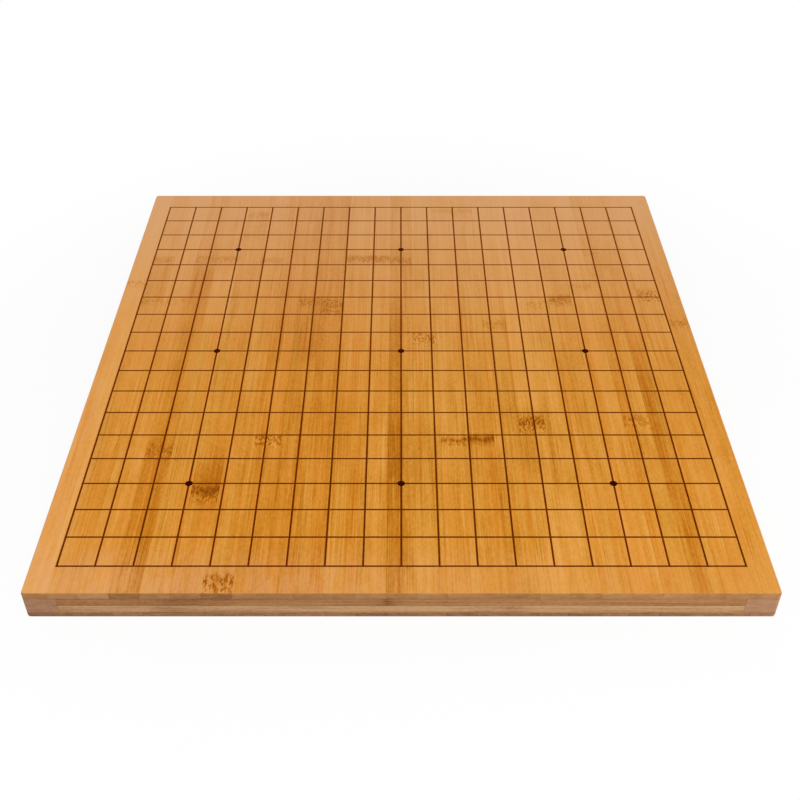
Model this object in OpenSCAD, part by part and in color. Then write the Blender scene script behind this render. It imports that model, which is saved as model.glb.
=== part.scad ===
// Go board of laminated bamboo: two skins of edge-glued strips over a core of two plies.
// The origin is the middle of the underside. +X is to the right, +Y to the back, +Z up.

/* [Playing grid] */
// Lines each way
lines = 19; // [9:2:21]
// Spacing of the lines that run front to back
cell_w = 22.9; // [18:0.1:30]
// Spacing of the lines that run side to side
cell_d = 23.7; // [18:0.1:30]
// Width of an etched line
line_w = 1.2; // [0.4:0.1:2]
// Depth of the etching below the face
etch_depth = 0.35; // [0.2:0.05:1]
// How far the lacquer in the etching stays below the face
lacquer_drop = 0.1; // [0.02:0.02:0.16]
// Diameter of a star point
star_d = 5; // [2.5:0.1:8]
// Line that the outer star points are on, where the grid's rim line is 0
star_line = 3; // [2:1:3]

/* [Rim] */
// From the outermost lines to the side edges
margin_w = 16.4; // [10:0.1:40]
// From the outermost lines to the front and back edges
margin_d = 21.7; // [10:0.1:40]
// Radius of the eased edges round both faces
edge_r = 1.2; // [0.4:0.1:1.8]
// Radius of the upright corners
corner_r = 2.5; // [2:0.1:8]

/* [Skins] */
// Thickness of the top skin
top_skin_t = 4.2; // [2.5:0.1:8]
// Thickness of the bottom skin
bottom_skin_t = 4.2; // [2.5:0.1:8]
// Width of one bamboo strip
strip_w = 18; // [12:0.5:40]
// Least width of a side strip, inside its rounded corners
side_strip_min = 4; // [2:0.5:10]

/* [Core] */
// Thickness of the upper core ply
upper_ply_t = 6.2; // [3:0.1:12]
// Thickness of the lower core ply
lower_ply_t = 6.2; // [3:0.1:12]
// Width of the stiles at the two sides
stile_w = 20; // [10:0.5:40]
// Width of the rails at the front and back
rail_w = 20; // [10:0.5:40]
// Width of one slat between the rails
slat_w = 19.5; // [10:0.5:40]
// Gap between two slats, which are laid loose and not glued edge to edge
slat_gap = 0.4; // [0.1:0.1:2]

/* [Hidden] */
$fn = 48;

// The grid, to the outer sides of its outermost lines
grid_w = (lines - 1) * cell_w + line_w;
grid_d = (lines - 1) * cell_d + line_w;

// The board, and the middles of its rounded corners
board_w = (lines - 1) * cell_w + 2 * margin_w;
board_d = (lines - 1) * cell_d + 2 * margin_d;
corner_x = board_w / 2 - corner_r;
corner_y = board_d / 2 - corner_r;

// Heights of the glue joints between the layers, from the underside up
core_bottom = bottom_skin_t;
ply_joint = core_bottom + lower_ply_t;
core_top = ply_joint + upper_ply_t;
board_t = core_top + top_skin_t;

// The strips of a skin lie side by side, from the middle strip outwards
half_strips = floor((corner_x - side_strip_min - strip_w / 2) / strip_w);
strip_count = 2 * (half_strips + 1) + 1;
last_strip = strip_count - 1;

// The core slats lie between the stiles, from one rail to the other
rail_length = board_w - 2 * stile_w;
core_d = board_d - 2 * rail_w;
slat_pitch = slat_w + slat_gap;
slat_count = round(core_d / slat_pitch);

// The etching and the lacquer in it
etch_floor = board_t - etch_depth;
lacquer_t = etch_depth - lacquer_drop;

// Star points are on these lines, counted from either rim of the grid
star_lines = [star_line, (lines - 1) / 2, lines - 1 - star_line];

// How far a cutting shape reaches past the faces that it cuts
overcut = 1;

skin_colour = "#d9953f";
upper_ply_colour = "#a56a41";
lower_ply_colour = "#be9164";
stile_colour = "#b17d50";
lacquer_colour = "#3a1e0a";

function two_digits(n) = str(n < 10 ? "0" : "", n);
function top_strip_name(i) = str("top_strip_", two_digits(i + 1));

// Left and right side of strip i of a skin, where strip 0 is the leftmost
function strip_left(i) = i == 0 ? -board_w / 2 : (i - 1 - half_strips) * strip_w - strip_w / 2;
function strip_right(i) = i == last_strip ? board_w / 2 : strip_left(i + 1);

// Middle of line i, counted from the left rim or from the front rim of the grid
function line_x(i) = (i - (lines - 1) / 2) * cell_w;
function line_y(i) = (i - (lines - 1) / 2) * cell_d;

// Section of a skin from its middle out to a rim, glued side down, with the rim's edge eased
module half_section(reach, thickness) {
    square([reach, thickness - edge_r]);
    square([reach - edge_r, thickness]);
    translate([reach - edge_r, thickness - edge_r]) circle(edge_r);
}

// A skin's section from front to back, drawn out from x = left to x = right
module skin_bar(left, right, thickness) {
    translate([left, 0, 0]) rotate([90, 0, 90]) linear_extrude(right - left) {
        half_section(board_d / 2, thickness);
        mirror([1, 0]) half_section(board_d / 2, thickness);
    }
}

// The outermost strip on the right, eased along its side and round its corners
module side_strip(thickness) {
    skin_bar(strip_left(last_strip), corner_x, thickness);
    translate([corner_x, corner_y, 0]) rotate([90, 0, 0])
        linear_extrude(2 * corner_y) half_section(corner_r, thickness);
    for (end = [-1, 1])
        translate([corner_x, end * corner_y, 0]) rotate_extrude() half_section(corner_r, thickness);
}

// Strip i of a skin, with its glued side on z = 0
module skin_strip(i, thickness) {
    if (i == 0)
        mirror([1, 0, 0]) side_strip(thickness);
    else if (i == last_strip)
        side_strip(thickness);
    else
        skin_bar(strip_left(i), strip_right(i), thickness);
}

// Plan of the grid's lines between x = left and x = right
module lines_plan(left, right) {
    from = max(left, -grid_w / 2);
    to = min(right, grid_w / 2);
    for (i = [0 : lines - 1]) {
        if (from < to)
            translate([from, line_y(i) - line_w / 2]) square([to - from, line_w]);
        if (left < line_x(i) + line_w / 2 && line_x(i) - line_w / 2 < right)
            translate([line_x(i) - line_w / 2, -grid_d / 2]) square([line_w, grid_d]);
    }
}

// Plan of the star points between x = left and x = right
module stars_plan(left, right) {
    for (i = star_lines, j = star_lines)
        if (left < line_x(i) + star_d / 2 && line_x(i) - star_d / 2 < right)
            translate([line_x(i), line_y(j)]) circle(d = star_d);
}

// One strip of the top skin, with its share of the etched grid
module top_strip(i) {
    left = strip_left(i) - overcut;
    right = strip_right(i) + overcut;
    color(skin_colour) difference() {
        translate([0, 0, core_top]) skin_strip(i, top_skin_t);
        translate([0, 0, etch_floor]) linear_extrude(etch_depth + overcut) {
            lines_plan(left, right);
            stars_plan(left, right);
        }
    }
}

// Every second strip of the bottom skin, from strip first on
module bottom_strips(first) {
    color(skin_colour)
        for (i = [first : 2 : last_strip])
            translate([0, 0, core_bottom]) mirror([0, 0, 1]) skin_strip(i, bottom_skin_t);
}

module bottom_strips_odd() {
    bottom_strips(0);
}

module bottom_strips_even() {
    bottom_strips(1);
}

// A stile fills the core's whole height and runs from front to back, so that its ends show
module right_stile() {
    color(stile_colour) translate([rail_length / 2, 0, core_bottom]) linear_extrude(core_top - core_bottom) {
        translate([0, -board_d / 2]) square([stile_w - corner_r, board_d]);
        translate([0, -corner_y]) square([stile_w, 2 * corner_y]);
        for (end = [-1, 1])
            translate([stile_w - corner_r, end * corner_y]) circle(corner_r);
    }
}

module left_stile() {
    mirror([1, 0, 0]) right_stile();
}

// A piece of a core ply from stile to stile
module upper_ply_piece(front, back) {
    color(upper_ply_colour) translate([-rail_length / 2, front, ply_joint])
        cube([rail_length, back - front, upper_ply_t]);
}

module lower_ply_piece(front, back) {
    color(lower_ply_colour) translate([-rail_length / 2, front, core_bottom])
        cube([rail_length, back - front, lower_ply_t]);
}

module front_rail_upper() {
    upper_ply_piece(-board_d / 2, -core_d / 2);
}

module front_rail_lower() {
    lower_ply_piece(-board_d / 2, -core_d / 2);
}

module back_rail_upper() {
    upper_ply_piece(core_d / 2, board_d / 2);
}

module back_rail_lower() {
    lower_ply_piece(core_d / 2, board_d / 2);
}

// Front and back of slat i, laid from the front rail backwards, with the last one cut to fit
function slat_front(i) = -core_d / 2 + i * slat_pitch;
function slat_back(i) = i == slat_count - 1 ? core_d / 2 : slat_front(i) + slat_w;

module core_slats_upper() {
    for (i = [0 : slat_count - 1])
        upper_ply_piece(slat_front(i), slat_back(i));
}

// The lower slats are laid from the back rail, so that their gaps don't lie under the upper ones
module core_slats_lower() {
    for (i = [0 : slat_count - 1])
        lower_ply_piece(-slat_back(i), -slat_front(i));
}

// The lattice of lacquer in the lines, which ends at the star points
module grid_lines() {
    color(lacquer_colour) translate([0, 0, etch_floor]) linear_extrude(lacquer_t) difference() {
        lines_plan(-board_w / 2, board_w / 2);
        stars_plan(-board_w / 2, board_w / 2);
    }
}

module star_points() {
    color(lacquer_colour) translate([0, 0, etch_floor]) linear_extrude(lacquer_t)
        stars_plan(-board_w / 2, board_w / 2);
}

for (i = [0 : last_strip])
    top_strip(i);
bottom_strips_odd();
bottom_strips_even();
left_stile();
right_stile();
front_rail_upper();
front_rail_lower();
back_rail_upper();
back_rail_lower();
core_slats_upper();
core_slats_lower();
grid_lines();
star_points();
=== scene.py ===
"""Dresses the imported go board: varnished bamboo strips, lacquered lines, a floor, lamps and a camera."""
import math
import random
from collections import namedtuple
from functools import reduce

import bpy
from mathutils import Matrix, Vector


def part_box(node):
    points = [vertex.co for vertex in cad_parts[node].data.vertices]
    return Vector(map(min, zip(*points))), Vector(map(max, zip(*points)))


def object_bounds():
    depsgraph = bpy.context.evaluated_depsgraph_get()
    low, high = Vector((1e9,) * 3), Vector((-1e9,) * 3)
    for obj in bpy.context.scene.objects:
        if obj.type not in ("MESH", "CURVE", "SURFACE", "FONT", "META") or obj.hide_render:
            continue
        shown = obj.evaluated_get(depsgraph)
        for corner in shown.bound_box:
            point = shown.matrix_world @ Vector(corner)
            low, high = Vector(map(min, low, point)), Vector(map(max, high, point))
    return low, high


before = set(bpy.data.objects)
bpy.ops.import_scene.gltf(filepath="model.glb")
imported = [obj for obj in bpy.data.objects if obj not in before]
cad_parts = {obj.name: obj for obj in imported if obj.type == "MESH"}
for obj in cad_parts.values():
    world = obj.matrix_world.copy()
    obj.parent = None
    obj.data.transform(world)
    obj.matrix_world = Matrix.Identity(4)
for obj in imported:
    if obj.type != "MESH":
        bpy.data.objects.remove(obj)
cad_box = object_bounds()

# Sizes on the board are in mm. The camera, the lamps and the floor are in metres, as Blender's own.
MM = 0.001
PER_METRE = 1000.0
BOARD_LOW, BOARD_HIGH = cad_box
BOARD_DEPTH = (BOARD_HIGH.y - BOARD_LOW.y) / MM
TOP_STRIPS = sorted(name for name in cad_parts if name.startswith("top_strip_"))

# Camera, as the photograph was taken, with its pitch in degrees from straight down
CAMERA_PLACE = (-0.0008, -0.6585, 0.5178)
CAMERA_PITCH = 50.412
CAMERA_LENS = 49.68
CAMERA_SENSOR = 36.0
CAMERA_NEAR = 0.01

# Softboxes, with the point that each is aimed at. A mirrored one shows in the gloss of the varnish.
Softbox = namedtuple("Softbox", "name place aim width height watts mirrored")
SOFTBOXES = (
    Softbox("key_softbox", (0.0, -1.0, 1.4), (0.0, 0.0, 0.0), 1.4, 1.2, 20.8, mirrored=True),
    Softbox("rear_softbox", (0.0, 2.0, 0.75), (0.0, 0.1, 0.0), 2.4, 1.2, 15.5, mirrored=False),
    Softbox("side_softbox", (0.80, -0.55, 0.12), (0.1, -0.23, 0.01), 0.5, 0.16, 2.5, mirrored=False),
)
WORLD_STRENGTH = 0.34
WHITE = (1.0, 1.0, 1.0, 1.0)

# An S-curve over a value: what it gives where the value is low, and where it is high
Fade = namedtuple("Fade", "low high at_low at_high", defaults=(0.0, 1.0))

# The floor, whose white gives way to the shadow near the board
FLOOR_SIZE = 30.0
FLOOR_HEIGHT = -0.1 * MM
FLOOR_PAINT = (0.9, 0.9, 0.9, 1.0)
FLOOR_WHITE = Fade(0.24, 0.45, 0.88, 1.0)

# Colours of bamboo faces, from pale to burnt, with the depth of tone at which each is reached
GOLDEN_TONES = (
    (0.150, (0.800, 0.425, 0.130)),
    (0.335, (0.748, 0.342, 0.068)),
    (0.500, (0.663, 0.283, 0.035)),
    (0.665, (0.533, 0.200, 0.013)),
    (0.850, (0.400, 0.117, 0.001)),
    (1.000, (0.260, 0.066, 0.001)),
)
RUDDY_TONES = (
    (0.150, (0.790, 0.375, 0.085)),
    (0.335, (0.743, 0.299, 0.048)),
    (0.500, (0.663, 0.245, 0.022)),
    (0.665, (0.533, 0.174, 0.008)),
    (0.850, (0.400, 0.111, 0.001)),
    (1.000, (0.260, 0.064, 0.001)),
)
# Pale varnish: the colour of worn varnish, which also paints the sheen at the back of the board
WORN_AND_SHEEN_COLOUR = (0.765, 0.413, 0.203, 1.0)

# Colours of sawn sides and cut ends, and of the lacquer, in the same way
END_TONES = (
    (0.10, (0.480, 0.270, 0.125)),
    (0.50, (0.350, 0.165, 0.059)),
    (0.90, (0.180, 0.068, 0.020)),
)
UPPER_PLY_TONES = (
    (0.10, (0.460, 0.245, 0.104)),
    (0.50, (0.335, 0.152, 0.051)),
    (0.90, (0.155, 0.057, 0.014)),
)
LOWER_PLY_TONES = (
    (0.10, (0.560, 0.345, 0.175)),
    (0.50, (0.455, 0.255, 0.114)),
    (0.90, (0.240, 0.108, 0.036)),
)
STILE_TONES = (
    (0.10, (0.540, 0.310, 0.145)),
    (0.50, (0.415, 0.208, 0.082)),
    (0.90, (0.220, 0.092, 0.030)),
)
GREY_END_TONES = (
    (0.10, (0.480, 0.280, 0.158)),
    (0.50, (0.355, 0.184, 0.094)),
    (0.90, (0.190, 0.080, 0.036)),
)
SIDE_TONES = (
    (0.10, (0.590, 0.350, 0.150)),
    (0.50, (0.480, 0.250, 0.090)),
    (0.90, (0.260, 0.108, 0.030)),
)
LINE_TONES = (
    (0.10, (0.275, 0.065, 0.001)),
    (0.50, (0.185, 0.031, 0.0003)),
    (0.90, (0.110, 0.015, 0.0003)),
)
STAR_TONES = (
    (0.10, (0.085, 0.016, 0.001)),
    (0.50, (0.045, 0.006, 0.0004)),
    (0.90, (0.022, 0.002, 0.0003)),
)

# Depth of tone of plain bamboo, and what is added to it at a seam and at the joints of the core
MIDDLE_TONE = 0.5
SEAM_DEPTH = 0.05
JOINT_DEPTH = 0.22

# A growth ring of the bamboo: its distance along the strip in mm, how strong its flecks, its smudge
# and its dark scar are, its length in mm, and how far its smudge trails on
Ring = namedtuple("Ring", "place flecks smudge scar length trail")
RINGS = {
    1: [Ring(324, 0.80, 0.40, 0.25, 13, 0)],
    2: [Ring(299, 0.30, 0.20, 0.10, 10, 0), Ring(360, 0.30, 0.40, 0.10, 12, 0)],
    3: [Ring(299, 0.30, 0.15, 0.10, 10, 0)],
    4: [Ring(122, 0.45, 0.45, 0.20, 20, 8), Ring(361, 0.30, 0.20, 0.15, 14, 0)],
    5: [Ring(361, 0.30, 0.40, 0.10, 12, 0)],
    6: [Ring(83, 0.80, 1.25, 0.78, 15, 36), Ring(432, 0.12, 0.35, 0.12, 16, 0)],
    7: [Ring(7, 0.65, 0.85, 0.25, 17, 0), Ring(358, 0.25, 0.30, 0.10, 12, 0)],
    8: [Ring(134, 0.95, 0.45, 0.15, 13, 0)],
    9: [Ring(299, 0.35, 0.35, 0.10, 12, 0)],
    10: [Ring(292, 0.50, 0.60, 0.12, 23, 0)],
    11: [Ring(361, 0.32, 0.60, 0.18, 13, 0)],
    12: [Ring(361, 0.36, 0.75, 0.18, 13, 0)],
    13: [Ring(359, 0.30, 0.40, 0.10, 12, 0)],
    14: [Ring(250, 0.85, 0.15, 0.24, 15, 0)],
    15: [Ring(133, 0.55, 0.85, 0.40, 10, 0), Ring(441, 0.09, 0.35, 0.05, 9, 0)],
    16: [Ring(135, 0.30, 1.30, 0.64, 10, 2), Ring(441, 0.08, 0.30, 0.05, 9, 0)],
    17: [Ring(268, 0.35, 0.40, 0.10, 13, 0)],
    18: [Ring(151, 0.75, 1.25, 0.45, 18, 12)],
    19: [Ring(295, 0.35, 0.30, 0.10, 13, 0)],
    20: [Ring(301, 0.40, 0.75, 0.20, 15, 0)],
    21: [Ring(320, 0.25, 0.25, 0.10, 13, 0)],
    22: [Ring(155, 0.55, 0.30, 0.20, 14, 0), Ring(370, 0.20, 0.20, 0.00, 12, 0)],
    24: [Ring(307, 0.65, 0.45, 0.15, 18, 0)],
    25: [Ring(269, 0.40, 0.40, 0.15, 12, 0)],
}
FRONT_UPPER_RINGS = [Ring(84, 0.15, 0.40, 0.05, 22, 10), Ring(212, 0.30, 0.50, 0.45, 12, 6)]
FRONT_LOWER_RINGS = [Ring(82, 0.15, 0.65, 0.10, 16, 8), Ring(286, 0.15, 0.45, 0.10, 12, 8)]
BACK_UPPER_RINGS = [Ring(140, 0.25, 0.45, 0.20, 14, 8), Ring(338, 0.20, 0.40, 0.10, 16, 6)]
BACK_LOWER_RINGS = [Ring(236, 0.20, 0.50, 0.15, 15, 8)]

# Parts of a growth ring, as shares of its length: where the flecks begin to thin and end, where the smudge
# starts, is full, thins and ends, and where the scar lies, begins to thin and ends
FLECKS_THIN, FLECKS_END = 0.25, 0.70
SMUDGE_START, SMUDGE_FULL, SMUDGE_THINS, SMUDGE_END = -0.75, 0.10, 0.20, 0.75
SCAR_PLACE, SCAR_THINS, SCAR_END = 0.20, 0.06, 0.38
SMUDGE_DEPTH = 0.20

# Strips that stand out: what is added to the depth of tone, where below 0 is paler, and to the redness
STRIP_TONE = {
    1: (-0.26, 0.20), 2: (-0.04, 0.0), 3: (-0.07, 0.04), 4: (0.02, 0.04), 7: (0.0, 0.06), 8: (0.04, 0.10),
    9: (0.06, 0.14), 10: (0.07, 0.10), 12: (-0.04, 0.02), 13: (0.06, -0.04), 14: (-0.04, -0.14),
    15: (-0.03, -0.05), 16: (-0.02, -0.04), 17: (-0.05, -0.06), 18: (-0.06, -0.08), 19: (-0.06, -0.08),
    20: (0.0, -0.04), 21: (-0.05, -0.02), 24: (-0.05, 0.02), 25: (-0.03, -0.04),
}
TONE_SPREAD = 0.02
TONE_SEED = 19

# What is added to the depth of tone of a strip's cut end
END_DEPTH = {1: 0.02, 2: -0.05, 3: -0.14, 4: 0.16, 5: 0.05, 6: 0.09, 7: 0.22, 8: 0.04, 9: 0.04, 10: 0.08}
END_SPREAD = 0.09

# Long stains: from and to across the fibres, from and to along them, in mm from the front left corner,
# and what they add to the depth of tone
Stain = namedtuple("Stain", "across_from across_to along_from along_to depth")
STAINS = {
    2: [Stain(10, 40, 300, 352, 0.07)],
    4: [
        Stain(52.5, 69.5, -60, 140, 0.09),
        Stain(53, 68.5, 298, 350, 0.11),
        Stain(54, 66, 205, 290, 0.05),
        Stain(63.5, 68.5, 40, 120, 0.07),
    ],
    5: [Stain(64, 93, 258, 342, -0.09)],
    6: [Stain(82, 111, -60, 24, 0.10), Stain(82, 111, 64, 94, 0.07), Stain(82, 111, 395, 425, 0.06)],
    9: [Stain(136, 165, 212, 300, 0.08)],
    11: [Stain(172, 201, 55, 165, 0.06)],
    13: [
        Stain(213.5, 223.5, -60, 150, 0.13),
        Stain(213.5, 223.5, 130, 300, 0.10),
        Stain(208, 237, 60, 145, 0.05),
        Stain(208, 237, 325, 380, 0.05),
    ],
    14: [Stain(226, 255, 60, 145, 0.09), Stain(226, 255, 325, 400, 0.06)],
    17: [Stain(280, 309, -60, 230, 0.07)],
    18: [Stain(305, 315, 98, 148, 0.14), Stain(299, 326, 100, 140, 0.06)],
    19: [Stain(316, 345, 88, 168, 0.09)],
    23: [Stain(393.5, 403.5, -60, 240, 0.12)],
    24: [Stain(406, 435, 160, 330, 0.05)],
}
UPPER_PLY_STAINS = [Stain(-40, 510, -60, 150, 0.09)]

# Ruddy stains, whose depth is what they add to the redness
RUDDY_STAINS = {4: [Stain(51, 70, 275, 372, 0.45)]}

# How soft a stain's two sides are, and its ends: a share of its length, up to a limit
STAIN_SOFT_SIDES = (1.2, 2.5)
STAIN_SOFT_SHARE = 0.3
STAIN_SOFT_MOST = 35.0

# Dark specks, in mm from the front left corner. The core and the edge are shares of the radius.
Speck = namedtuple("Speck", "x y radius")
SPECKS = {5: [Speck(73.8, 34.2, 0.45)]}
SPECK_CORE, SPECK_EDGE = 0.5, 1.6
SPECK_DEPTH = 0.32

# A layer of fibres: the width and length of its streaks, what sets its noise apart, and how far it swings
Layer = namedtuple("Layer", "width length offset swing", defaults=(0.0,))
STREAKS = (
    Layer(9.0, 200.0, 1.7, 0.26),
    Layer(11.0, 30.0, 2.9, 0.20),
    Layer(2.6, 120.0, 3.9, 0.22),
    Layer(1.4, 3.2, 9.7, 0.26),
)
NARROW_FIBRES = Layer(1.1, 75.0, 5.3, 0.32)
FINE_FIBRES = Layer(0.5, 50.0, 7.1, 0.28)
FIBRE_PATCHES = Layer(11.0, 60.0, 57.3)
PATCH_STRENGTH = Fade(0.36, 0.64, 0.50, 1.40)
FIBRE_WANDER = Layer(14.0, 160.0, 51.7, 1.6)
RING_WANDER = Layer(5.0, 300.0, 11.3, 8.0)
STAIN_WANDER = Layer(20.0, 70.0, 41.9, 5.0)
RING_FLECKS = Layer(1.5, 3.4, 23.7)
FLECK_DEPTH = Fade(0.42, 0.60, -0.16, 0.24)
SCAR_BREAKS = Layer(3.0, 5.0, 31.1)
SCAR_DEPTH = Fade(0.36, 0.56, 0.12, 0.32)
RUDDY_FIBRES = (Layer(8.0, 180.0, 61.3, 0.9), Layer(2.2, 90.0, 67.9, 0.7))
RUDDY_LIMITS = Fade(0.28, 0.72)
EVEN_REDNESS = 0.5
FINE_RELIEF, NARROW_RELIEF = 0.5, 0.8
NOISE_DETAIL = 2.0
COARSE_DETAIL = 1.0

# How strong the streaks of the top strips are, over the whole board and at its front
STREAK_STRENGTH = Fade(100.0, 490.0, 1.20, 0.45)
FRONT_STREAKS = Fade(0.0, 36.0, 0.78, 1.0)

# What the noise of a top strip is drawn from: its number times these
FIBRE_SEED = 17.31
WEAR_SEED = 5.3
END_SEED = 3.7

# Varnish rubbed thin: at the front and the left, in patches, and less on dark fibres
FRONT_RUB = Fade(4.0, 48.0, 0.32, 0.0)
FRONT_RUB_SIDEWAYS = Fade(10.0, 420.0, 1.15, 0.30)
LEFT_RUB = Fade(8.0, 26.0, 1.0, 0.0)
LEFT_RUB_LENGTHWAYS = Fade(0.0, 90.0, 0.42, 0.15)
RUB_PATCH_SIZE = (6.0, 22.0)
RUB_PATCHES = Fade(0.3, 0.7, 0.5, 1.3)
RUB_ON_DARK = Fade(0.50, 0.90, 1.0, 0.0)

# Painted sheen: the varnish is made paler towards the back, where a lamp behind would gloss it, and less so
# on dark fibres
PAINTED_BACK_SHEEN = Fade(170.0, 500.0, 0.0, 0.64)
PAINTED_SHEEN_ON_DARK = Fade(0.36, 0.74, 1.15, 0.36)

# Eased edges: how far they face up, from and to, how soft these limits are, and how worn they are
EASED_FACING = (0.20, 0.96, 0.15, 0.03)
EASED_WEAR = 0.52
UNDERSIDE_EASED_WEAR = 0.45

# How far a surface faces along an axis where a side or an end begins and where it is reached, and how
# strong the streaks of a sawn side are
SIDE_FACING = Fade(0.55, 0.85)
SKIN_END_FACING = Fade(0.10, 0.60)
SIDE_STREAKS = 1.3

# Glued seams: where the dark line begins to thin and where it ends, in mm from the seam, where it ends
# between two layers, and the groove of a seam as a share of the relief
SEAM_CORE = 0.05
SEAM_REACH = 0.45
GLUE_REACH = 1.1
SEAM_GROOVE = -0.5

# Cut ends: bundles of fibre, and clouds with their width and height
BUNDLES_PER_MM = 1.4
BUNDLE_DEPTH = Fade(0.18, 0.42, 0.10, -0.03)
END_CLOUD_SIZE = (7.0, 2.5)
END_CLOUD_SWING = 0.50
END_SEAM_DEPTH = 0.12

# The strips of the underside: noise for each node and strip, the draws for each strip, which also place
# its two rings, and tones
UNDERSIDE_SEEDS = {"bottom_strips_odd": 101.3, "bottom_strips_even": 131.9}
UNDERSIDE_STRIP_SEED = 37.0
RING_DRAW, END_DRAW = 0.5, 0.25
SECOND_RING_SHIFT = 0.53 * BOARD_DEPTH
UNDERSIDE_RINGS = (Ring(0, 0.45, 0.60, 0.25, 13, 6), Ring(0, 0.35, 0.45, 0.10, 12, 0))
UNDERSIDE_TONE_SWING = 0.20
UNDERSIDE_STREAKS = 1.2
UNDERSIDE_END_TONE = 0.73
UNDERSIDE_END_SWING = 0.16

# A piece of the core: its colours, the axis of its fibres, its noise, how strong its streaks are, its marks,
# what its glued faces and its lower half add to the depth of tone, the colours and tone of its ends, and
# whether it shows in the finished board
CorePiece = namedtuple(
    "CorePiece",
    "tones axis seed strength rings stains glue_depth low_depth end_tones end_tone shows",
    defaults=((), (), 0.12, 0.0, GREY_END_TONES, MIDDLE_TONE, True),
)
UPPER_RAIL = CorePiece(UPPER_PLY_TONES, "x", 300.0, 1.7, stains=UPPER_PLY_STAINS, end_tones=UPPER_PLY_TONES)
LOWER_RAIL = CorePiece(
    LOWER_PLY_TONES, "x", 400.0, 1.7, glue_depth=0.0, low_depth=0.16, end_tones=LOWER_PLY_TONES
)
CORE_PIECES = {
    "left_stile": CorePiece(STILE_TONES, "y", 203.1, 1.5, end_tone=0.57),
    "right_stile": CorePiece(STILE_TONES, "y", 211.7, 1.5, end_tone=0.48),
    "front_rail_upper": UPPER_RAIL._replace(rings=FRONT_UPPER_RINGS),
    "back_rail_upper": UPPER_RAIL._replace(rings=BACK_UPPER_RINGS, seed=309.3),
    "front_rail_lower": LOWER_RAIL._replace(rings=FRONT_LOWER_RINGS),
    "back_rail_lower": LOWER_RAIL._replace(rings=BACK_LOWER_RINGS, seed=409.3),
    "core_slats_upper": CorePiece(UPPER_PLY_TONES, "x", 501.7, 1.6, shows=False),
    "core_slats_lower": CorePiece(LOWER_PLY_TONES, "x", 511.3, 1.6, shows=False),
}

# The etched lines, in mm, and how far the etching scorches the wood beside them and their walls
LINES = 19
LINE_WIDTH = 1.2
SCORCH_REACH = 0.15
SCORCH_SOFT = 0.05
SCORCH_COLOUR = (0.110, 0.022, 0.001, 1.0)
FRINGE_SCORCH = 0.8
WALL_SCORCH = Fade(0.3, 0.7, 0.9, 0.0)

# The lacquer, with clouds and a speckle by their size, noise and swing, faded towards the back
LACQUER_CLOUD = Layer(9.0, 9.0, 3.3, 0.5)
LACQUER_SPECKLE = Layer(0.5, 0.5, 9.1, 0.6)
LACQUER_FADE = Fade(100.0, 440.0, 0.70, 0.30)

# How strongly surfaces mirror, what noise adds to their roughness with the least roughness, and their relief
VARNISH_SPECULAR = 0.045
CORE_SPECULAR = 0.12
LACQUER_SPECULAR = 0.0
TOP_ROUGHNESS = (0.14, 0.23)
UNDERSIDE_ROUGHNESS = (0.14, 0.27)
CORE_ROUGHNESS = (0.16, 0.40)
LACQUER_ROUGHNESS = (0.3, 0.45)
HIDDEN_ROUGHNESS = 0.5
FIBRE_RELIEF = 0.03 * MM
LACQUER_RELIEF = 0.02 * MM


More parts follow.
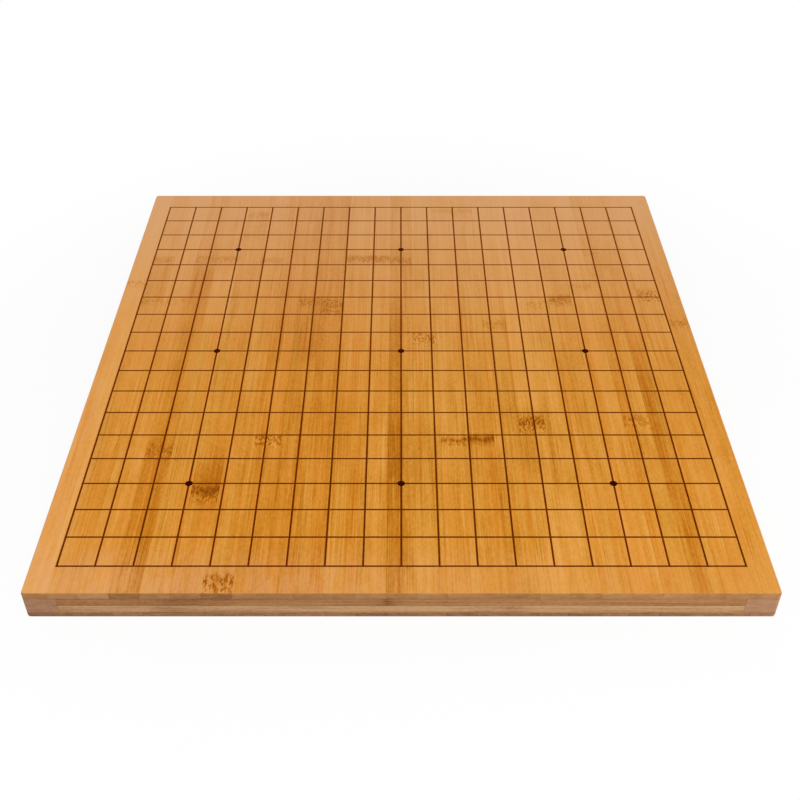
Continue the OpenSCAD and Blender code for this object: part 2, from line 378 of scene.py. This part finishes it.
class Finish:
    """The nodes of a material or a world: each call adds a node and gives back its output."""

    def __init__(self, owner):
        owner.use_nodes = True
        self.tree = owner.node_tree
        self.tree.nodes.clear()

    def add(self, kind, inputs, **settings):
        node = self.tree.nodes.new("ShaderNode" + kind)
        for name, value in settings.items():
            setattr(node, name, value)
        for socket, value in inputs.items():
            self.feed(node.inputs[socket], value)
        return node

    def feed(self, socket, value):
        """Links an output to a socket, or sets a plain value on it."""
        if isinstance(value, bpy.types.NodeSocket):
            self.tree.links.new(value, socket)
        else:
            socket.default_value = value

    def math(self, operation, *values):
        return self.add("Math", dict(enumerate(values)), operation=operation).outputs[0]

    def chain(self, operation, values):
        return reduce(lambda result, value: self.math(operation, result, value), values)

    def times(self, *values):
        return self.chain("MULTIPLY", values)

    def total(self, *values):
        return self.chain("ADD", values)

    def minus(self, *values):
        return self.chain("SUBTRACT", values)

    def least(self, *values):
        return self.chain("MINIMUM", values)

    def most(self, *values):
        return self.chain("MAXIMUM", values)

    def fade(self, value, low, high, at_low=0.0, at_high=1.0):
        """An S-curve from at_low, where the value is low, to at_high, where it is high."""
        limits = {"Value": value, "From Min": low, "From Max": high, "To Min": at_low, "To Max": at_high}
        return self.add("MapRange", limits, interpolation_type="SMOOTHSTEP").outputs[0]

    def between(self, value, low, high, soft_low, soft_high):
        """1 between two limits and 0 outside them, with a soft step at each."""
        rise = self.fade(value, low - soft_low, low + soft_low)
        fall = self.fade(value, high - soft_high, high + soft_high, 1.0, 0.0)
        return self.times(rise, fall)

    def place(self):
        """Millimetres to the right of, behind and above the board's lower front left corner."""
        point = self.add("TexCoord", {}).outputs["Object"]
        from_corner = self.add("VectorMath", {0: point, 1: BOARD_LOW}, operation="SUBTRACT").outputs[0]
        in_mm = self.add("VectorMath", {0: from_corner, "Scale": PER_METRE}, operation="SCALE").outputs[0]
        return self.add("SeparateXYZ", {0: in_mm}).outputs[:3]

    def facing(self):
        """How far the surface faces sideways, lengthways and up or down, from 0 to 1 each."""
        normal = self.add("NewGeometry", {}).outputs["Normal"]
        parts = self.add("SeparateXYZ", {0: normal}).outputs
        return [self.math("ABSOLUTE", part) for part in parts]

    def noise(self, x, y, z, detail=NOISE_DETAIL):
        point = self.add("CombineXYZ", {0: x, 1: y, 2: z}).outputs[0]
        return self.add("TexNoise", {"Vector": point, "Scale": 1.0, "Detail": detail}).outputs[0]

    def cloud(self, x, y, width, length, seed):
        """Noise in patches of a width and a length."""
        return self.noise(self.math("DIVIDE", x, width), self.math("DIVIDE", y, length), seed)

    def chance(self, number):
        """A random value from 0 to 1 that stays the same for a number."""
        return self.add("TexWhiteNoise", {"W": number}, noise_dimensions="1D").outputs["Value"]

    def swing(self, value, amount):
        """A value from 0 to 1, made to swing about 0."""
        return self.times(self.minus(value, 0.5), amount)

    def tones(self, depth, stops):
        """A colour for a depth of tone."""
        node = self.add("ValToRGB", {"Fac": depth})
        ramp = node.color_ramp
        while len(ramp.elements) < len(stops):
            ramp.elements.new(1.0)
        for element, (position, colour) in zip(ramp.elements, stops):
            element.position = position
            element.color = (*colour, 1.0)
        return node.outputs[0]

    def blend(self, factor, first, second):
        """A mix of two colours, whose sockets share their names with other kinds and go by number."""
        sockets = {"Factor": factor, 6: first, 7: second}
        return self.add("Mix", sockets, data_type="RGBA").outputs[2]

    def surface(self, specular, colour, roughness, height=None, relief=FIBRE_RELIEF):
        sockets = {"Base Color": colour, "Roughness": roughness, "Specular IOR Level": specular}
        if height is not None:
            bump = self.add("Bump", {"Height": height, "Distance": relief, "Strength": 1.0})
            sockets["Normal"] = bump.outputs[0]
        self.show(self.add("BsdfPrincipled", sockets), "OutputMaterial")

    def show(self, shader, output):
        self.tree.links.new(shader.outputs[0], self.add(output, {}).inputs[0])


class Grain:
    """The fibres of one bamboo piece, along one axis, which wander sideways together."""

    def __init__(self, finish, across, along, up, seed):
        self.finish = finish
        self.across, self.along, self.up, self.seed = across, along, up, seed
        self.across = finish.total(across, self.swung(FIBRE_WANDER))
        self.patches = finish.fade(self.fibres(FIBRE_PATCHES), *PATCH_STRENGTH)
        self.narrow = self.fibres(NARROW_FIBRES)
        self.fine = self.fibres(FINE_FIBRES)

    def fibres(self, layer, detail=NOISE_DETAIL):
        f = self.finish
        x = f.math("DIVIDE", self.across, layer.width)
        y = f.math("DIVIDE", self.along, layer.length)
        z = f.math("MULTIPLY_ADD", self.up, 1.0 / layer.width, self.seed + layer.offset)
        return f.noise(x, y, z, detail)

    def swung(self, layer):
        return self.finish.swing(self.fibres(layer), layer.swing)

    def streaks(self):
        """Depth of tone of broad and fine streaks."""
        f = self.finish
        narrow_tone = f.swing(self.narrow, NARROW_FIBRES.swing)
        fine_tone = f.swing(self.fine, FINE_FIBRES.swing)
        threads = f.times(f.total(narrow_tone, fine_tone), self.patches)
        return f.total(*[self.swung(layer) for layer in STREAKS], threads)

    def redness(self, offset):
        """From 0 in golden fibres to 1 in ruddy ones."""
        f = self.finish
        ruddy = f.total(*[self.swung(layer) for layer in RUDDY_FIBRES], EVEN_REDNESS, offset)
        return f.fade(ruddy, *RUDDY_LIMITS)

    def relief(self):
        f = self.finish
        return f.total(f.times(self.fine, FINE_RELIEF), f.times(self.narrow, NARROW_RELIEF))

    def rings(self, rings):
        """Depth of tone that growth rings add: flecks, a smudge and a scar each."""
        f = self.finish
        line = f.total(self.along, self.swung(RING_WANDER))
        flecks = f.fade(self.fibres(RING_FLECKS, COARSE_DETAIL), *FLECK_DEPTH)
        breaks = f.fade(self.fibres(SCAR_BREAKS, COARSE_DETAIL), *SCAR_DEPTH)
        marks = []
        for ring in rings:
            size = ring.length
            offset = f.minus(line, ring.place)
            window = f.fade(f.math("ABSOLUTE", offset), FLECKS_THIN * size, FLECKS_END * size, 1.0, 0.0)
            marks.append(f.times(window, flecks, ring.flecks))
            ahead = f.fade(offset, SMUDGE_START * size, SMUDGE_FULL * size)
            behind = f.fade(offset, SMUDGE_THINS * size, SMUDGE_END * size + ring.trail, 1.0, 0.0)
            marks.append(f.times(ahead, behind, SMUDGE_DEPTH * ring.smudge))
            if ring.scar:
                from_scar = f.math("ABSOLUTE", f.minus(offset, SCAR_PLACE * size))
                band = f.fade(from_scar, SCAR_THINS * size, SCAR_END * size, 1.0, 0.0)
                marks.append(f.times(band, breaks, ring.scar))
        return f.total(*marks)

    def stain(self, stain):
        f = self.finish
        edge = f.total(self.across, self.swung(STAIN_WANDER))
        sides = f.between(edge, stain.across_from, stain.across_to, *STAIN_SOFT_SIDES)
        soft = min(STAIN_SOFT_MOST, STAIN_SOFT_SHARE * (stain.along_to - stain.along_from))
        ends = f.between(self.along, stain.along_from, stain.along_to, soft, soft)
        return f.times(sides, ends, stain.depth)


def extent(name):
    """Lowest and highest corner of a node, in mm from the board's lower front left corner."""
    return [[(corner[axis] - BOARD_LOW[axis]) / MM for axis in range(3)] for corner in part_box(name)]


def width_of(name):
    low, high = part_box(name)
    return (high.x - low.x) / MM


def speck_mark(f, x, y, speck):
    across = f.minus(x, speck.x)
    along = f.minus(y, speck.y)
    distance = f.math("SQRT", f.total(f.times(across, across), f.times(along, along)))
    return f.fade(distance, SPECK_CORE * speck.radius, SPECK_EDGE * speck.radius, SPECK_DEPTH, 0.0)


def seam_line(f, *distances, reach=SEAM_REACH):
    """1 on a glued seam, 0 away from it, for distances in mm from the glued sides."""
    return f.fade(f.least(*distances), SEAM_CORE, reach, 1.0, 0.0)


def scorched_share(f, x, y, upright):
    """How far the etching has scorched the wood: the walls of the lines, and a fringe beside each line."""
    inside, distances = [], []
    for place, first, last in zip((x, y), *extent("grid_lines")):
        pitch = (last - first - LINE_WIDTH) / (LINES - 1)
        from_first = f.minus(place, first + 0.5 * LINE_WIDTH)
        distances.append(f.math("PINGPONG", from_first, 0.5 * pitch))
        inside.append(f.between(place, first - SCORCH_REACH, last + SCORCH_REACH, SCORCH_SOFT, SCORCH_SOFT))
    edge = 0.5 * LINE_WIDTH
    fringe = f.fade(f.least(*distances), edge - SCORCH_REACH, edge + SCORCH_REACH, FRINGE_SCORCH, 0.0)
    walls = f.fade(upright, *WALL_SCORCH)
    return f.times(*inside, f.most(fringe, walls))


def end_depth(f, x, z, seed, tone, seam):
    """Depth of tone of cut ends: dark bundles of fibre in paler pith."""
    across = f.times(x, BUNDLES_PER_MM)
    up = f.times(z, BUNDLES_PER_MM)
    point = f.add("CombineXYZ", {0: across, 1: up, 2: seed}).outputs[0]
    cells = f.add("TexVoronoi", {"Vector": point, "Scale": 1.0}, feature="F1").outputs["Distance"]
    bundles = f.fade(cells, *BUNDLE_DEPTH)
    clouds = f.swing(f.cloud(x, z, *END_CLOUD_SIZE, seed), END_CLOUD_SWING)
    return f.total(tone, bundles, clouds, f.times(seam, END_SEAM_DEPTH))


def eased_share(f, upright, wear):
    """How worn the varnish is on the eased edges, which face neither up nor sideways."""
    return f.times(f.between(upright, *EASED_FACING), wear)


def wear_and_sheen_share(f, x, y, upright, depth, seed):
    """How pale the varnish is: rubbed at the edges, the front and the left, and a painted sheen towards the
    back.
    """
    eased = eased_share(f, upright, EASED_WEAR)
    front = f.times(f.fade(y, *FRONT_RUB), f.fade(x, *FRONT_RUB_SIDEWAYS))
    left = f.times(f.fade(x, *LEFT_RUB), f.fade(y, *LEFT_RUB_LENGTHWAYS))
    patches = f.fade(f.cloud(x, y, *RUB_PATCH_SIZE, seed), *RUB_PATCHES)
    rubbed = f.times(f.most(front, left), patches, f.fade(depth, *RUB_ON_DARK))
    # Painted sheen: paler varnish towards the back, less on dark fibres
    painted_sheen = f.times(f.fade(y, *PAINTED_BACK_SHEEN), f.fade(depth, *PAINTED_SHEEN_ON_DARK))
    return f.most(eased, rubbed, painted_sheen)


def skin_face(f, grain, depth, redness, wear_and_sheen):
    """Colour of a strip's face, paled by worn varnish and, on the top strips, by the painted sheen at the
    back.
    """
    golden = f.tones(depth, GOLDEN_TONES)
    ruddy = f.tones(depth, RUDDY_TONES)
    varnished = f.blend(grain.redness(redness), golden, ruddy)
    return f.blend(wear_and_sheen, varnished, WORN_AND_SHEEN_COLOUR)


def sawn_edges(f, face, end, streaks, sideways, lengthways):
    """Colour of a strip: its face, its sawn long side and its cut end."""
    side = f.tones(f.math("MULTIPLY_ADD", streaks, SIDE_STREAKS, MIDDLE_TONE), SIDE_TONES)
    with_side = f.blend(f.fade(sideways, *SIDE_FACING), face, side)
    return f.blend(f.fade(lengthways, *SKIN_END_FACING), with_side, end)


def varnish(f, grain, colour, roughness, seam):
    """The satin surface of a skin, with the relief of its fibres and the grooves of its seams."""
    height = f.total(grain.relief(), f.times(seam, SEAM_GROOVE))
    f.surface(VARNISH_SPECULAR, colour, f.math("MULTIPLY_ADD", grain.narrow, *roughness), height)


def top_strip_finish(name, rng):
    number = int(name.rsplit("_", 1)[1])
    (left, _, bottom), (right, _, _) = extent(name)
    tone_offset, redness = STRIP_TONE.get(number, (0.0, 0.0))
    tone = MIDDLE_TONE + tone_offset + rng.uniform(-TONE_SPREAD, TONE_SPREAD)
    end_tone = MIDDLE_TONE + END_DEPTH.get(number, rng.uniform(-END_SPREAD, END_SPREAD))
    material = bpy.data.materials.new("bamboo_" + name)
    f = Finish(material)
    x, y, z = f.place()
    sideways, lengthways, upright = f.facing()
    grain = Grain(f, x, y, z, number * FIBRE_SEED)
    streaks = grain.streaks()
    strength = f.times(f.fade(y, *STREAK_STRENGTH), f.fade(y, *FRONT_STREAKS))
    glued_sides = []
    if number > 1:
        glued_sides.append(f.minus(x, left))
    if number < len(TOP_STRIPS):
        glued_sides.append(f.minus(right, x))
    seam = seam_line(f, *glued_sides)
    marks = [tone, f.times(streaks, strength)]
    if number in RINGS:
        marks.append(grain.rings(RINGS[number]))
    marks += [grain.stain(stain) for stain in STAINS.get(number, [])]
    marks += [speck_mark(f, x, y, speck) for speck in SPECKS.get(number, [])]
    marks.append(f.times(seam, SEAM_DEPTH))
    depth = f.total(*marks)
    # How pale the varnish is from wear, and from the painted sheen towards the back
    wear_and_sheen = wear_and_sheen_share(f, x, y, upright, depth, number * WEAR_SEED)
    ruddy = f.total(redness, *[grain.stain(stain) for stain in RUDDY_STAINS.get(number, [])])
    face = skin_face(f, grain, depth, ruddy, wear_and_sheen)
    glue = seam_line(f, f.minus(z, bottom), reach=GLUE_REACH)
    end = f.tones(end_depth(f, x, z, number * END_SEED, end_tone, f.most(seam, glue)), END_TONES)
    colour = sawn_edges(f, face, end, streaks, sideways, lengthways)
    colour = f.blend(scorched_share(f, x, y, upright), colour, SCORCH_COLOUR)
    varnish(f, grain, colour, TOP_ROUGHNESS, seam)
    return material


def underside_finish(name, seed):
    """The strips of the bottom skin, each with a tone and two growth rings of its own."""
    side_width = width_of(TOP_STRIPS[0])
    strip_width = width_of(TOP_STRIPS[1])
    _, (_, _, top) = extent(name)
    material = bpy.data.materials.new("bamboo_" + name)
    f = Finish(material)
    x, y, z = f.place()
    sideways, lengthways, upright = f.facing()
    pitch = f.math("DIVIDE", f.minus(x, side_width), strip_width)
    strip = f.math("FLOOR", pitch)
    grain = Grain(f, x, y, f.math("MULTIPLY_ADD", strip, UNDERSIDE_STRIP_SEED, z), seed)
    streaks = grain.streaks()
    tone = f.total(f.swing(f.chance(strip), UNDERSIDE_TONE_SWING), MIDDLE_TONE)
    place = f.times(f.chance(f.total(strip, RING_DRAW)), BOARD_DEPTH)
    next_place = f.math("FLOORED_MODULO", f.total(place, SECOND_RING_SHIFT), BOARD_DEPTH)
    placed = [ring._replace(place=spot) for ring, spot in zip(UNDERSIDE_RINGS, (place, next_place))]
    rings = grain.rings(placed)
    from_left = f.times(f.math("FRACT", pitch), strip_width)
    from_right = f.minus(strip_width, from_left)
    seam = seam_line(f, from_left, from_right)
    depth = f.total(tone, f.times(streaks, UNDERSIDE_STREAKS), rings, f.times(seam, SEAM_DEPTH))
    face = skin_face(f, grain, depth, 0.0, eased_share(f, upright, UNDERSIDE_EASED_WEAR))
    end_seam = seam_line(f, from_left, from_right, f.minus(top, z))
    end_draw = f.chance(f.total(strip, END_DRAW))
    end_tone = f.total(f.swing(end_draw, UNDERSIDE_END_SWING), UNDERSIDE_END_TONE)
    end = f.tones(end_depth(f, x, z, seed, end_tone, end_seam), GREY_END_TONES)
    colour = sawn_edges(f, face, end, streaks, sideways, lengthways)
    varnish(f, grain, colour, UNDERSIDE_ROUGHNESS, seam)
    return material


def core_finish(name, piece):
    """A stile, rail or set of slats, whose fibres run along one axis."""
    (left, _, bottom), (right, _, top) = extent(name)
    material = bpy.data.materials.new("bamboo_" + name)
    f = Finish(material)
    x, y, z = f.place()
    sideways, lengthways, _ = f.facing()
    across, along, endways = (y, x, sideways) if piece.axis == "x" else (x, y, lengthways)
    grain = Grain(f, across, along, z, piece.seed)
    glue = seam_line(f, f.minus(z, bottom), f.minus(top, z), reach=GLUE_REACH)
    joint = seam_line(f, f.minus(x, left), f.minus(right, x))
    marks = [MIDDLE_TONE, f.times(grain.streaks(), piece.strength)]
    marks += [f.times(glue, piece.glue_depth), f.times(joint, JOINT_DEPTH)]
    if piece.low_depth:
        marks.append(f.fade(z, bottom, 0.5 * (bottom + top), piece.low_depth, 0.0))
    if piece.rings:
        marks.append(grain.rings(piece.rings))
    marks += [grain.stain(stain) for stain in piece.stains]
    face = f.tones(f.total(*marks), piece.tones)
    if not piece.shows:
        f.surface(CORE_SPECULAR, face, HIDDEN_ROUGHNESS)
        return material
    end = f.tones(end_depth(f, across, z, piece.seed, piece.end_tone, f.most(glue, joint)), piece.end_tones)
    colour = f.blend(f.fade(endways, *SIDE_FACING), face, end)
    roughness = f.math("MULTIPLY_ADD", grain.narrow, *CORE_ROUGHNESS)
    f.surface(CORE_SPECULAR, colour, roughness, grain.relief())
    return material


def lacquer_finish(name, stops):
    material = bpy.data.materials.new(name)
    f = Finish(material)
    x, y, _ = f.place()
    clouds, speckle = [
        f.cloud(x, y, layer.width, layer.length, layer.offset) for layer in (LACQUER_CLOUD, LACQUER_SPECKLE)
    ]
    uneven = [f.swing(clouds, LACQUER_CLOUD.swing), f.swing(speckle, LACQUER_SPECKLE.swing)]
    depth = f.total(f.fade(y, *LACQUER_FADE), *uneven)
    roughness = f.math("MULTIPLY_ADD", clouds, *LACQUER_ROUGHNESS)
    f.surface(LACQUER_SPECULAR, f.tones(depth, stops), roughness, speckle, LACQUER_RELIEF)
    return material


def dress(name, material):
    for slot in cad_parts[name].material_slots:
        slot.link = "OBJECT"
        slot.material = material


def dress_board():
    rng = random.Random(TONE_SEED)
    for name in TOP_STRIPS:
        dress(name, top_strip_finish(name, rng))
    for name, seed in UNDERSIDE_SEEDS.items():
        dress(name, underside_finish(name, seed))
    for name, piece in CORE_PIECES.items():
        dress(name, core_finish(name, piece))
    dress("grid_lines", lacquer_finish("line_lacquer", LINE_TONES))
    dress("star_points", lacquer_finish("star_lacquer", STAR_TONES))


def seen_directly(f):
    """1 for rays that show the background: straight to the camera, or by way of gloss or glass."""
    path = f.add("LightPath", {}).outputs
    return f.most(path["Is Camera Ray"], path["Is Glossy Ray"], path["Is Transmission Ray"])


def make_floor():
    bpy.ops.mesh.primitive_plane_add(size=FLOOR_SIZE, location=(0.0, 0.0, FLOOR_HEIGHT))
    floor = bpy.context.object
    floor.name = "studio_floor"
    material = bpy.data.materials.new("pale_floor")
    floor.data.materials.append(material)
    f = Finish(material)
    point = f.add("TexCoord", {}).outputs["Object"]
    distance = f.add("VectorMath", {0: point}, operation="LENGTH").outputs["Value"]
    white_share = f.times(seen_directly(f), f.fade(distance, *FLOOR_WHITE))
    paint = f.add("BsdfDiffuse", {"Color": FLOOR_PAINT}).outputs[0]
    glow = f.add("Emission", {"Color": WHITE, "Strength": 1.0}).outputs[0]
    f.show(f.add("MixShader", {0: white_share, 1: paint, 2: glow}), "OutputMaterial")


def make_world():
    world = bpy.data.worlds.new("studio")
    bpy.context.scene.world = world
    f = Finish(world)
    light = f.add("Background", {"Color": WHITE, "Strength": WORLD_STRENGTH}).outputs[0]
    backdrop = f.add("Background", {"Color": WHITE, "Strength": 1.0}).outputs[0]
    f.show(f.add("MixShader", {0: seen_directly(f), 1: light, 2: backdrop}), "OutputWorld")


def make_softbox(softbox):
    data = bpy.data.lights.new(softbox.name, "AREA")
    data.shape = "RECTANGLE"
    data.size = softbox.width
    data.size_y = softbox.height
    data.energy = softbox.watts
    lamp = bpy.data.objects.new(softbox.name, data)
    bpy.context.scene.collection.objects.link(lamp)
    lamp.location = softbox.place
    direction = Vector(softbox.place) - Vector(softbox.aim)
    lamp.rotation_euler = direction.to_track_quat("Z", "Y").to_euler()
    lamp.visible_camera = False
    lamp.visible_glossy = softbox.mirrored


def make_camera():
    data = bpy.data.cameras.new("camera")
    data.lens = CAMERA_LENS
    data.sensor_width = CAMERA_SENSOR
    data.clip_start = CAMERA_NEAR
    camera = bpy.data.objects.new("camera", data)
    bpy.context.scene.collection.objects.link(camera)
    camera.location = CAMERA_PLACE
    camera.rotation_euler = (math.radians(CAMERA_PITCH), 0.0, 0.0)
    bpy.context.scene.camera = camera


dress_board()
make_floor()
make_world()
for studio_softbox in SOFTBOXES:
    make_softbox(studio_softbox)
make_camera()
bpy.context.scene.view_settings.view_transform = "Standard"
